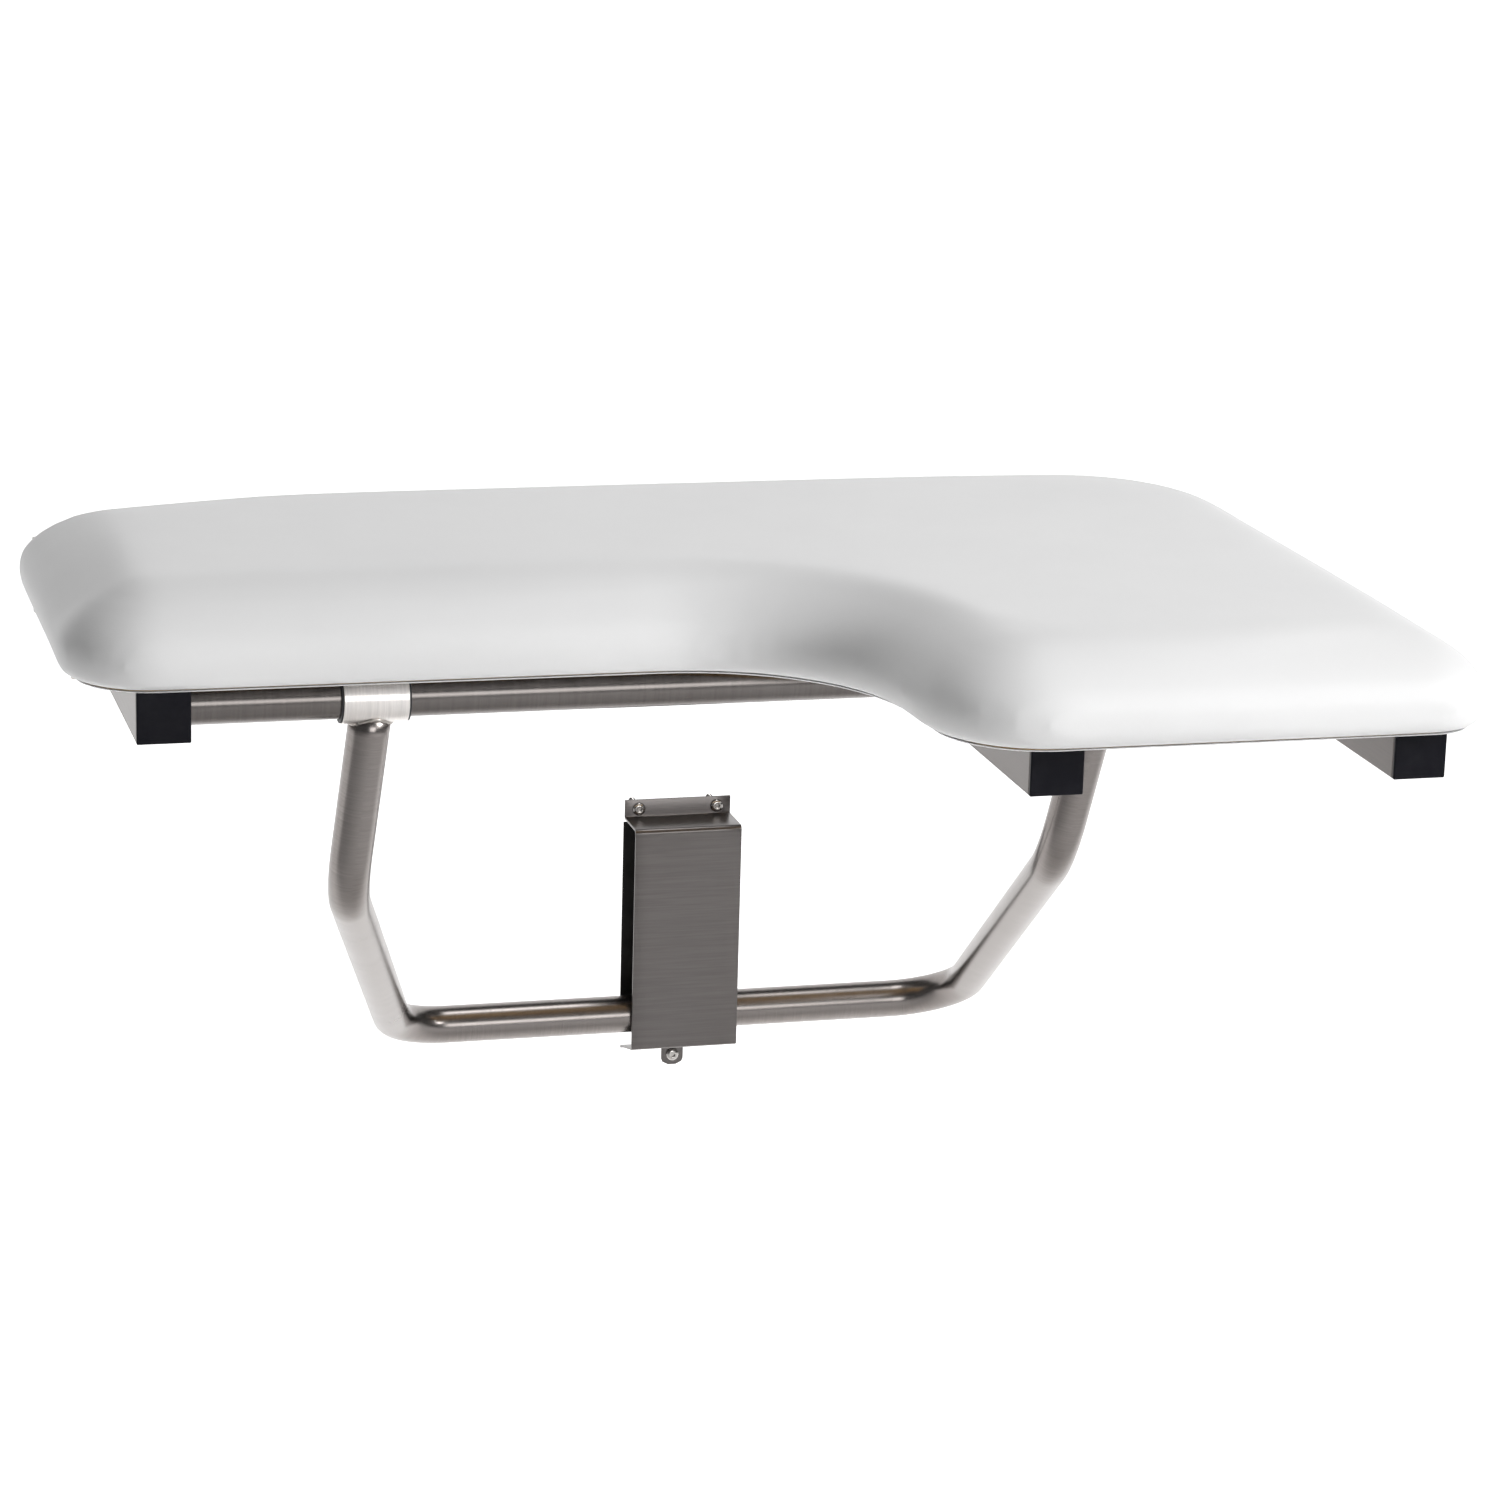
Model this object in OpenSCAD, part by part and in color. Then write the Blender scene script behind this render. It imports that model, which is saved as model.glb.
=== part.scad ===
// Wall-mounted fold-up shower seat: an L-shaped padded seat on three square rails,
// a swing-down tube leg, and a wall guide that the leg's cross bar runs in.
// X runs along the wall, +Y points into the wall (the wall face is Y = 0), Z is up.
// The origin is the centre of the left hinge bracket's wall holes.

/* [Seat frame] */
// Side of the square rails
rail_w = 31.75; // [25:0.25:38]
// Wall thickness of the square rails
rail_wall = 1.6; // [1.2:0.1:2.5]
// Height of the rails' underside above the origin
rail_bottom_z = -18; // [-20:1:-16]
// Position of the middle rail along the wall
middle_rail_x = 478; // [440:1:520]
// Position of the right rail along the wall
right_rail_x = 698; // [660:1:740]
// Reach of the left rail's end cap from the wall
short_reach = 368; // [360:1:380]
// Reach of the two longer rails' end caps from the wall
long_reach = 558; // [540:1:580]
// Distance from the wall to the rear ends of the rails
rail_back = 61; // [60:1:64]
// Distance from the wall to the tube that carries the leg
cross_tube_back = 338; // [330:1:342]

/* [Hinges] */
// Distance from the wall to the hinge axis
hinge_back = 84; // [83:0.5:85]
// Height of the hinge axis below the rails' middle
hinge_low = 6; // [5:0.5:6.5]
// Diameter of the hinge bolts
hinge_bolt_d = 10; // [8:1:10]
// Thickness of the wall brackets' plate
bracket_t = 5; // [4:0.5:6]
// Thickness of the wall brackets' ears
ear_t = 4; // [3:0.5:5]
// Diameter of the wall bolt holes
wall_hole_d = 9; // [7:0.5:10]
// Distance between the wall bolt holes along the wall
wall_hole_dx = 52; // [48:1:54]
// Distance between the wall bolt holes up the wall
wall_hole_dz = 32; // [30:1:34]

/* [Leg] */
// Diameter of the round tube of the leg and the cross tube
tube_d = 25.4; // [22:0.1:28]
// Wall thickness of the round tube
tube_wall = 1.65; // [1.2:0.05:2.5]
// Distance from the wall to the leg's cross bar
bar_back = 17.7; // [17.6:0.1:18.2]
// Drop from the cross tube's axis to the cross bar's axis
bar_drop = 316.4; // [310:0.1:318]
// Position of the left leg's top along the wall
left_leg_x = 127; // [115:1:140]
// Position of the right leg's top along the wall
right_leg_x = 584; // [570:1:590]
// Distance from the cross tube to the leg's knees, towards the wall
knee_run = 25; // [20:1:27]
// Distance from the cross tube down to the leg's knees
knee_drop = 127.3; // [126:0.1:130]
// Length of each bearing sleeve on the cross tube
sleeve_len = 39; // [34:1:46]
// Outer diameter of the bearing sleeves
sleeve_d = 31.4; // [30.4:0.1:31.5]

/* [Wall guide] */
// Position of the guide's middle along the wall
guide_x = 399; // [380:1:420]
// Width of the guide cover
guide_w = 74; // [68:1:80]
// Depth of the guide cover from the wall
guide_depth = 34; // [34:0.5:36]
// Thickness of the guide's sheet
sheet_t = 1.5; // [1.2:0.1:2]
// Top of the guide's screw flange, below the rails' underside
guide_flange_drop = 153; // [151:1:156]
// Top of the guide's channel, below the rails' underside
guide_top_drop = 165; // [163:0.5:165.5]
// Bottom edge of the guide's front, below the rails' underside
guide_bottom_drop = 321; // [318:1:324]

/* [Cushion] */
// Thickness of the padded seat, board included
pad_t = 54; // [46:1:55]
// Thickness of the seat board
board_t = 12; // [9:1:15]
// Overhang of the cushion past the left rail's axis
pad_left = 60; // [55:1:62]
// Overhang of the cushion past the right rail's axis
pad_right = 43; // [38:1:50]
// Distance from the wall to the cushion's rear edge
pad_back = 61; // [60:1:64]
// Reach of the cushion's short side from the wall
pad_short_reach = 383; // [375:1:390]
// Reach of the cushion's long side from the wall
pad_long_reach = 590; // [575:1:595]

/* [Hidden] */
$fn = 48;

// Shared places
axis_z = rail_bottom_z + rail_w / 2;
hinge_z = axis_z - hinge_low;
rail_xs = [0, middle_rail_x, right_rail_x];
rail_reaches = [short_reach, long_reach, long_reach];
rail_in = rail_w - 2 * rail_wall;
pad_z = rail_bottom_z + rail_w;
cap_t = 3;
seat_end = right_rail_x - rail_w / 2;
running = 0.05;

// Hinge parts
eye_r = 14;
bush_d = 14;
bush_flange_d = 20;
bush_flange_t = 1.5;
ear_gap = rail_w + 2 * bush_flange_t + 0.8;
ear_out = ear_gap / 2 + ear_t;
arm_top_z = rail_bottom_z - 17.5;
arm_bottom_z = rail_bottom_z - 31;
plate_w = wall_hole_dx + 20;
tongue_w = 2 * ear_out;
hex_af = 16;

// Leg: places of its tops, knees and lower corners
bar_z = axis_z - bar_drop;
knee_y = -cross_tube_back + knee_run;
knee_z = axis_z - knee_drop;
left_top = [left_leg_x, -cross_tube_back, axis_z];
left_knee = [left_leg_x - 11, knee_y, knee_z];
left_corner = [201.3, -bar_back, bar_z];
right_corner = [597.7, -bar_back, bar_z];
right_knee = [right_leg_x - 19, knee_y, knee_z];
right_top = [right_leg_x, -cross_tube_back, axis_z];
knee_r = 60;
corner_r = 45;
leg_trim = 8;
bend_lap = 0.5;
bend_swell = 0.1;

// Guide levels
flange_z = rail_bottom_z - guide_flange_drop;
channel_z = rail_bottom_z - guide_top_drop;
front_z = rail_bottom_z - guide_bottom_drop;
return_drop = 9;
tab_w = 15.5;
tab_drop = 15;
glide_wall = 1.3;
glide_len = 60;
liner_t = 2;
top_screw_dx = 54.6;
screw_shank_d = 4.8;
screw_head_d = 9;
screw_out = 25.2;
screw_neck_d = 4;
screw_neck_end = 0.2;
flange_screw_z = flange_z - 6.5;
tab_screw_z = front_z - return_drop - 7.5;

// Board screws: distance of each from the wall, for the short and the long rails
short_screws = [150, 280];
long_screws = [150, 290, 430];
screw_d = 6.4;
tee_d = 9;

// Cushion outline: corners and their radii, walked round from the rear left
pad_x0 = -pad_left;
pad_x1 = right_rail_x + pad_right;
pad_corners = [
    [pad_x0, -pad_back, 80], [pad_x1, -pad_back, 110],
    [pad_x1, -pad_long_reach, 48], [middle_rail_x - 65, -pad_long_reach, 62],
    [middle_rail_x - 88, -pad_short_reach, 104], [pad_x0, -pad_short_reach, 56]];
pad_levels = 7;
pad_round_in = 36;
pad_round_up = 38;
board_inset = 15;

function unit(v) = v / norm(v);
function turn_of(a, b, c) = let (u = unit(b - a), v = unit(c - b)) atan2(u[0] * v[1] - u[1] * v[0], u * v);
// Points of a round corner of radius r at b, between a and c
function corner_arc(a, b, c, r, n = 10) =
    let (u = unit(b - a), turn = turn_of(a, b, c), side = sign(turn),
        start = b - u * r * tan(abs(turn) / 2), mid = start + side * r * [-u[1], u[0]])
    [for (i = [0:n]) let (t = turn * i / n, k = start - mid)
        mid + [k[0] * cos(t) - k[1] * sin(t), k[0] * sin(t) + k[1] * cos(t)]];
function xy(p) = [p[0], p[1]];
function round_outline(ps) = let (n = len(ps))
    [for (i = [0:n - 1]) each corner_arc(xy(ps[(i + n - 1) % n]), xy(ps[i]), xy(ps[(i + 1) % n]), ps[i][2])];

// ---- shared shapes ----

// A cylinder along X, centred on x
module rod_x(x, y, z, d, len) translate([x, y, z]) rotate([0, 90, 0]) cylinder(d = d, h = len, center = true);

// A cylinder along Y from y0 to y1
module rod_y(x, y0, y1, z, d) translate([x, y0, z]) rotate([-90, 0, 0]) cylinder(d = d, h = y1 - y0);

// A YZ outline extruded along X, centred on x
module slab_x(x, w, points) translate([x - w / 2, 0, 0]) rotate([90, 0, 90]) linear_extrude(w) polygon(points);

// Holes through the wall plate of the bracket at x
module wall_holes(x) for (sx = [-1, 1], sz = [-1, 1])
    rod_y(x + sx * wall_hole_dx / 2, -bracket_t - 1, 1, sz * wall_hole_dz / 2, wall_hole_d);

// Hooked wall bracket: plate, tongue, two hooked ears with an eye, and a web that joins the arms
module wall_bracket(x) {
    plate_low = -wall_hole_dz / 2 - 9;
    difference() {
        union() {
            translate([x - plate_w / 2, -bracket_t, plate_low]) cube([plate_w, bracket_t, wall_hole_dz + 18]);
            translate([x - tongue_w / 2, -bracket_t, arm_bottom_z])
                cube([tongue_w, bracket_t, plate_low - arm_bottom_z + 1]);
            for (side = [-1, 1]) {
                ear_x = x + side * (ear_gap + ear_t) / 2;
                slab_x(ear_x, ear_t, [[-0.5, arm_bottom_z], [-0.5, arm_top_z + 9], [-bracket_t - 4, arm_top_z + 9],
                    [-bracket_t - 13, arm_top_z], [-hinge_back + eye_r, arm_top_z], [-hinge_back + eye_r, hinge_z],
                    [-hinge_back - eye_r, hinge_z], [-hinge_back - eye_r, arm_bottom_z + 8],
                    [-hinge_back - eye_r + 8, arm_bottom_z]]);
                rod_x(ear_x, -hinge_back, hinge_z, 2 * eye_r, ear_t);
            }
            translate([x - ear_gap / 2 - 1, -hinge_back, arm_bottom_z])
                cube([ear_gap + 2, hinge_back - 1, 3]);
        }
        rod_x(x, -hinge_back, hinge_z, hinge_bolt_d + 0.3, 2 * ear_out + 4);
        wall_holes(x);
    }
}

module left_wall_bracket() color("lightsteelblue") wall_bracket(rail_xs[0]);
module middle_wall_bracket() color("lightsteelblue") wall_bracket(rail_xs[1]);
module right_wall_bracket() color("lightsteelblue") wall_bracket(rail_xs[2]);

// Hex bolt through each hinge, its head on the left
module hinge_bolts() color("silver") for (x = rail_xs) {
    rod_x(x + 4.5, -hinge_back, hinge_z, hinge_bolt_d, 2 * ear_out + 9);
    translate([x - ear_out - 6, -hinge_back, hinge_z]) rotate([0, 90, 0])
        cylinder(d = hex_af / cos(30), h = 6, $fn = 6);
}

// Lock nut on each hinge bolt
module hinge_nuts() color("gainsboro") for (x = rail_xs) difference() {
    union() {
        translate([x + ear_out, -hinge_back, hinge_z]) rotate([0, 90, 0])
            cylinder(d = hex_af / cos(30), h = 6, $fn = 6);
        rod_x(x + ear_out + 7, -hinge_back, hinge_z, 13, 2);
    }
    rod_x(x + ear_out + 4, -hinge_back, hinge_z, hinge_bolt_d, 12);
}

// Flanged nylon bush in each side wall of each rail
module hinge_bushings() color("ivory") for (x = rail_xs, side = [-1, 1]) difference() {
    union() {
        rod_x(x + side * (rail_w / 2 + bush_flange_t / 2), -hinge_back, hinge_z, bush_flange_d, bush_flange_t);
        rod_x(x + side * (rail_w / 2 - 3.5), -hinge_back, hinge_z, bush_d, 7);
    }
    rod_x(x + side * rail_w / 2, -hinge_back, hinge_z, hinge_bolt_d + 2 * running, 30);
}

// ---- seat frame ----

// Square tube of rail i with its hinge bore, screw holes and cross tube hole
module rail(i) {
    x = rail_xs[i];
    length = rail_reaches[i] - cap_t - rail_back;
    screws = i == 0 ? short_screws : long_screws;
    difference() {
        translate([x - rail_w / 2, -rail_reaches[i] + cap_t, rail_bottom_z]) cube([rail_w, length, rail_w]);
        translate([x - rail_in / 2, -rail_reaches[i] + cap_t - 1, rail_bottom_z + rail_wall])
            cube([rail_in, length + 2, rail_in]);
        rod_x(x, -hinge_back, hinge_z, bush_d, rail_w + 2);
        for (y = screws) translate([x, -y, rail_bottom_z - 1]) cylinder(d = screw_d + 0.4, h = rail_w + 2);
        if (i == 1) rod_x(x, -cross_tube_back, axis_z, tube_d + 0.1, rail_w + 2);
    }
}

module left_rail() color("silver") rail(0);
module middle_rail() color("silver") rail(1);
module right_rail() color("silver") rail(2);

// Round tube that the leg swings on, from the left rail to the right rail
module cross_tube() color("silver") difference() {
    mid = (rail_w / 2 + seat_end) / 2;
    length = seat_end - rail_w / 2;
    rod_x(mid, -cross_tube_back, axis_z, tube_d, length);
    rod_x(mid, -cross_tube_back, axis_z, tube_d - 2 * tube_wall, length + 2);
}

// Plug that closes a rail: a face plate outside, at y, and a hollow spigot inside, deep in all
module end_plug(x, y, side, deep) {
    spigot = rail_in - 0.2;
    difference() {
        union() {
            translate([x - rail_w / 2, min(y, y + side * cap_t), rail_bottom_z]) cube([rail_w, cap_t, rail_w]);
            translate([x - spigot / 2, min(y + side * (cap_t - 0.5), y + side * deep), axis_z - spigot / 2])
                cube([spigot, deep - cap_t + 0.5, spigot]);
        }
        translate([x - spigot / 2 + 3, min(y + side * cap_t, y + side * (deep + 1)), axis_z - spigot / 2 + 3])
            cube([spigot - 6, deep + 1 - cap_t, spigot - 6]);
    }
}

module left_end_cap() color("black") end_plug(rail_xs[0], -rail_reaches[0], 1, 17);
module middle_end_cap() color("black") end_plug(rail_xs[1], -rail_reaches[1], 1, 17);
module right_end_cap() color("black") end_plug(rail_xs[2], -rail_reaches[2], 1, 17);
module rear_end_caps() color("black") for (x = rail_xs) end_plug(x, -rail_back + cap_t, -1, 14);

// ---- seat board and cushion ----

module pad_outline(inset) offset(delta = -inset) polygon(round_outline(pad_corners));

// Water-resistant board with a hole for every tee nut
module seat_board() color("burlywood") difference() {
    translate([0, 0, pad_z]) linear_extrude(board_t) pad_outline(board_inset);
    for (i = [0:2]) for (y = i == 0 ? short_screws : long_screws)
        translate([rail_xs[i], -y, pad_z - 1]) cylinder(d = tee_d, h = board_t + 2);
}

// Foam and vinyl cover: closed at the top and sides, open below for the board
module seat_cushion() color("white") difference() {
    union() {
        translate([0, 0, pad_z]) linear_extrude(pad_t - pad_round_up) pad_outline(0);
        for (k = [1:pad_levels]) {
            from = 90 * (k - 1) / pad_levels;
            to = 90 * k / pad_levels;
            low = pad_z + pad_t - pad_round_up * (1 - sin(from));
            high = pad_z + pad_t - pad_round_up * (1 - sin(to));
            translate([0, 0, low - 0.01]) linear_extrude(high - low + 0.01)
                pad_outline(pad_round_in * (1 - cos((from + to) / 2)));
        }
    }
    translate([0, 0, pad_z - 1]) linear_extrude(board_t + 1) pad_outline(board_inset);
    for (i = [0:2]) for (y = i == 0 ? short_screws : long_screws)
        translate([rail_xs[i], -y, pad_z - 1]) cylinder(d = tee_d + 4, h = board_t + 3);
}

// Pan-head screws up through the rails into the tee nuts
module board_screws() color("gray") for (i = [0:2]) for (y = i == 0 ? short_screws : long_screws)
    translate([rail_xs[i], -y, rail_bottom_z]) {
        translate([0, 0, -3]) cylinder(d = 12, h = 3);
        translate([0, 0, -0.5]) cylinder(d = screw_d, h = rail_w + board_t - 1);
    }

// Tee nuts pressed into the top of the board
module board_tee_nuts() color("goldenrod") for (i = [0:2]) for (y = i == 0 ? short_screws : long_screws)
    translate([rail_xs[i], -y, pad_z]) difference() {
        union() {
            translate([0, 0, 2]) cylinder(d = tee_d, h = board_t - 2);
            translate([0, 0, board_t]) cylinder(d = tee_d + 4, h = 1.5);
        }
        translate([0, 0, 1]) cylinder(d = screw_d, h = board_t + 2);
    }

// ---- leg ----

// Places children with their X, Y and Z axes along u, v and w, and their origin at p
module axes(u, v, w, p) multmatrix([for (i = [0:2]) [u[i], v[i], w[i], p[i]]]) children();

// Straight tube from a to b, entering the bends at its ends by bend_lap
module tube_run(a, b) {
    w = unit(b - a);
    u = unit(cross(w, [0, 0.6, 0.8]));
    length = norm(b - a) + 2 * bend_lap;
    axes(u, cross(w, u), w, a - w * bend_lap) difference() {
        cylinder(d = tube_d, h = length);
        translate([0, 0, -1]) cylinder(d = tube_d - 2 * tube_wall, h = length + 2);
    }
}

// Angle that a tube turns through at b, on its way from a to c
function bend_turn(a, b, c) = acos(unit(b - a) * unit(c - b));

// Tube bend of radius r at b, between a and c, with a slightly thicker wall than the runs
module tube_bend(a, b, c, r) {
    u = unit(b - a);
    w = unit(cross(u, c - b));
    out = cross(u, w);
    turn = bend_turn(a, b, c);
    axes(out, u, w, b - u * r * tan(turn / 2) - out * r) rotate_extrude(angle = turn, $fn = 96)
        translate([r, 0]) difference() {
            circle(d = tube_d + bend_swell);
            circle(d = tube_d - 2 * tube_wall - bend_swell);
        }
}

// Point on the run from a to b where a bend of radius r at b starts
function bend_start(a, b, c, r) = b - unit(b - a) * r * tan(bend_turn(a, b, c) / 2);

// Bent round tube: two legs and the cross bar that runs in the wall guide
module leg_tube() color("silver") difference() {
    pts = [left_top, left_knee, left_corner, right_corner, right_knee, right_top];
    radii = [0, knee_r, corner_r, corner_r, knee_r, 0];
    union() {
        for (i = [1:4]) tube_bend(pts[i - 1], pts[i], pts[i + 1], radii[i]);
        for (i = [0:4]) tube_run(
            i == 0 ? left_top + unit(left_knee - left_top) * leg_trim
                : bend_start(pts[i + 1], pts[i], pts[i - 1], radii[i]),
            i == 4 ? right_top + unit(right_knee - right_top) * leg_trim
                : bend_start(pts[i], pts[i + 1], pts[i + 2], radii[i + 1]));
    }
    for (x = [left_leg_x, right_leg_x]) rod_x(x, -cross_tube_back, axis_z, sleeve_d, sleeve_len + 8);
}

// Steel sleeve at the top of a leg, with a thin nylon bush in each end
module sleeve(x) difference() {
    rod_x(x, -cross_tube_back, axis_z, sleeve_d, sleeve_len);
    rod_x(x, -cross_tube_back, axis_z, tube_d + 2.4, sleeve_len + 2);
}
module sleeve_bushings(x) for (side = [-1, 1]) difference() {
    union() {
        rod_x(x + side * (sleeve_len / 2 - 5), -cross_tube_back, axis_z, tube_d + 2.4, 10);
        rod_x(x + side * (sleeve_len / 2 + 0.6), -cross_tube_back, axis_z, sleeve_d - 1, 1.2);
    }
    rod_x(x + side * sleeve_len / 2, -cross_tube_back, axis_z, tube_d + 2 * running, 30);
}

module left_sleeve() color("silver") sleeve(left_leg_x);
module right_sleeve() color("silver") sleeve(right_leg_x);
module left_sleeve_bushings() color("dimgray") sleeve_bushings(left_leg_x);
module right_sleeve_bushings() color("dimgray") sleeve_bushings(right_leg_x);

// ---- wall guide ----

// Nylon glide that turns on the bar and slides inside the guide
module bar_glide() color("ivory") difference() {
    rod_x(guide_x, -bar_back, bar_z, tube_d + 2 * running + 2 * glide_wall, glide_len);
    rod_x(guide_x, -bar_back, bar_z, tube_d + 2 * running, glide_len + 2);
}

// Bent sheet: screw flange, top, front, sloping return and tab
module guide_cover() color("silver") {
    t = sheet_t;
    d = guide_depth;
    low = front_z - return_drop;
    difference() {
        union() {
            slab_x(guide_x, guide_w, [[0, flange_z], [-t, flange_z], [-t, channel_z], [-d + 1, channel_z],
                [-d, channel_z - 1], [-d, front_z], [-d + 1, front_z - 0.9], [0, low], [0, low + t],
                [-d + t, front_z + t], [-d + t, channel_z - t], [0, channel_z - t]]);
            translate([guide_x - tab_w / 2, -t, low - tab_drop + 5]) cube([tab_w, t, tab_drop - 4]);
            translate([guide_x - tab_w / 2 + 5, -t, low - tab_drop]) cube([tab_w - 10, t, 6]);
            for (side = [-1, 1]) rod_y(guide_x + side * (tab_w / 2 - 5), -t, 0, low - tab_drop + 5, 10);
        }
        for (side = [-1, 1])
            rod_y(guide_x + side * top_screw_dx / 2, -5, 1, flange_screw_z, screw_shank_d + 0.1);
        rod_y(guide_x, -5, 1, tab_screw_z, screw_shank_d + 0.1);
        for (side = [-1, 1])
            rod_y(guide_x + side * (guide_w / 2), -t - 4, 1, channel_z + 0.4, 2.4);
    }
}

// Dark wear strip against the wall, behind the bar
module guide_liner() color("black") difference() {
    low = front_z + 2;
    high = channel_z - sheet_t - 2;
    translate([guide_x - guide_w / 2 - 0.6, -liner_t, low]) cube([guide_w + 1.2, liner_t, high - low]);
    for (z = [low + 10, high - 10]) rod_y(guide_x, -liner_t - 1, 1, z, 4);
}

// Countersunk rivets that fix the wear strip
module liner_rivets() color("gray") for (z = [front_z + 12, channel_z - sheet_t - 12])
    rod_y(guide_x, -liner_t, 0, z, 4);

// Pan-head screw with a hexagon socket, a plain neck in the sheet and a shank that goes into the wall
module guide_screw(x, z) difference() {
    union() {
        rod_y(x, -sheet_t - 0.5, screw_neck_end + 0.5, z, screw_neck_d);
        rod_y(x, screw_neck_end, screw_out, z, screw_shank_d);
        rod_y(x, -sheet_t - 2.6, -sheet_t, z, screw_head_d);
    }
    translate([x, -sheet_t - 3.6, z]) rotate([-90, 0, 0]) cylinder(d = 3.4, h = 2.8, $fn = 6);
}

module guide_top_screws() color("gray") for (side = [-1, 1])
    guide_screw(guide_x + side * top_screw_dx / 2, flange_screw_z);
module guide_tab_screw() color("gray") guide_screw(guide_x, tab_screw_z);

left_wall_bracket();
middle_wall_bracket();
right_wall_bracket();
hinge_bolts();
hinge_nuts();
hinge_bushings();
left_rail();
middle_rail();
right_rail();
cross_tube();
left_end_cap();
middle_end_cap();
right_end_cap();
rear_end_caps();
seat_board();
seat_cushion();
board_screws();
board_tee_nuts();
leg_tube();
left_sleeve();
right_sleeve();
left_sleeve_bushings();
right_sleeve_bushings();
bar_glide();
guide_cover();
guide_liner();
liner_rivets();
guide_top_screws();
guide_tab_screw();
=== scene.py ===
import math

import bmesh
import bpy
import numpy as np
from mathutils import Matrix, Vector


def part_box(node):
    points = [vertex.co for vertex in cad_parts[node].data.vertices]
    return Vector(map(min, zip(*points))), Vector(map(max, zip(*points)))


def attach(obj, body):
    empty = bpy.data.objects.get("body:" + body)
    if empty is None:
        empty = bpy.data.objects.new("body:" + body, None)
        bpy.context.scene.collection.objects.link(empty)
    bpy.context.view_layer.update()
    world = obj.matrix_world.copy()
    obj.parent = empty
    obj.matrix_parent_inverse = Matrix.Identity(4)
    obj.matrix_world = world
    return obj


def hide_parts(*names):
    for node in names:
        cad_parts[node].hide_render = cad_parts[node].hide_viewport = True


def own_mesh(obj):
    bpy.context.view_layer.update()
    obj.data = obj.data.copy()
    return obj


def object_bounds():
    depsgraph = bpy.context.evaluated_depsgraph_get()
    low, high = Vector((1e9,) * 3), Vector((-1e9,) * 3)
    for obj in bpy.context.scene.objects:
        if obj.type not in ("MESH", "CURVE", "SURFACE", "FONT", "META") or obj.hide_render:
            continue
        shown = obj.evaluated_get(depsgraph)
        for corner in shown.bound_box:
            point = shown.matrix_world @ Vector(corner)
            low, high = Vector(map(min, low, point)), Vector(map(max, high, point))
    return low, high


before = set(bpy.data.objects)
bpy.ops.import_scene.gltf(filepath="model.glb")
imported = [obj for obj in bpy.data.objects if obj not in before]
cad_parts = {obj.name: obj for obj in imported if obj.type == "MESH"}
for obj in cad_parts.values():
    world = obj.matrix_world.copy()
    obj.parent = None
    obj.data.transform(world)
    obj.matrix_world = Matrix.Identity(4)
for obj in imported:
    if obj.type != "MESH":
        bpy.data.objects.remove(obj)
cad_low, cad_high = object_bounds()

MM = 0.001

# Points closer than this are joined, and edges sharper than this many degrees are rounded
WELD_GAP = 0.02 * MM
BEVEL_FROM = 30


# ---------------------------------------------------------------- places from the frame

def middle(node):
    """Middle of a CAD node's box."""
    low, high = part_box(node)
    return (low + high) / 2


def span(node):
    """Size of a CAD node's box."""
    low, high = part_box(node)
    return high - low


RAIL_W = span("left_rail").x
TUBE_R = span("cross_tube").z / 2
TUBE_Y, TUBE_Z = middle("cross_tube").y, middle("cross_tube").z
PAD_LOW, PAD_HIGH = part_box("seat_cushion")
BAR = middle("bar_glide")
LEFT_LEG_X = middle("left_sleeve").x
RIGHT_LEG_X = middle("right_sleeve").x
RAIL_XS = [middle(n).x for n in ("left_rail", "middle_rail", "right_rail")]


# ---------------------------------------------------------------- small mesh tools

def new_object(name, verts, faces):
    """A smooth-shaded mesh object, with its faces turned outwards."""
    mesh = bpy.data.meshes.new(name)
    mesh.from_pydata([tuple(v) for v in verts], [], faces)
    mesh.validate()
    obj = bpy.data.objects.new(name, mesh)
    bpy.context.scene.collection.objects.link(obj)
    bm = bmesh.new()
    bm.from_mesh(mesh)
    bmesh.ops.recalc_face_normals(bm, faces=bm.faces)
    bm.to_mesh(mesh)
    bm.free()
    shade_smooth(obj)
    return obj


def shade_smooth(obj):
    obj.data.polygons.foreach_set("use_smooth", [True] * len(obj.data.polygons))


def bake_modifiers(obj):
    """Applies every modifier of obj by taking its evaluated mesh."""
    bpy.context.view_layer.update()
    deps = bpy.context.evaluated_depsgraph_get()
    mesh = bpy.data.meshes.new_from_object(obj.evaluated_get(deps), depsgraph=deps)
    obj.modifiers.clear()
    obj.data = mesh
    return obj


def ring_skin(rings, close_ends=True):
    """Vertices and faces of a skin through rings that have the same number of points."""
    count = len(rings[0])
    verts = [p for ring in rings for p in ring]
    faces = []
    for i in range(len(rings) - 1):
        a, b = i * count, (i + 1) * count
        for k in range(count):
            n = (k + 1) % count
            faces.append((a + k, a + n, b + n, b + k))
    if close_ends:
        faces.append(tuple(range(count))[::-1])
        faces.append(tuple(range((len(rings) - 1) * count, len(rings) * count)))
    return verts, faces


def lathe(profile, centre, axis, up, segments, inner_hex=()):
    """Rings of a revolved profile of (radius, height) pairs; those listed in inner_hex become hexagons."""
    axis = Vector(axis).normalized()
    side = Vector(up).normalized()
    other = axis.cross(side)
    rings = []
    for index, (radius, height) in enumerate(profile):
        ring = []
        for k in range(segments):
            turn = 2 * math.pi * k / segments
            r = radius
            if index in inner_hex:
                sector = (turn % (math.pi / 3)) - math.pi / 6
                r = radius * math.cos(math.pi / 6) / math.cos(sector)
            ring.append(Vector(centre) + axis * height + (side * math.cos(turn) + other * math.sin(turn)) * r)
        rings.append(ring)
    return rings


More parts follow.
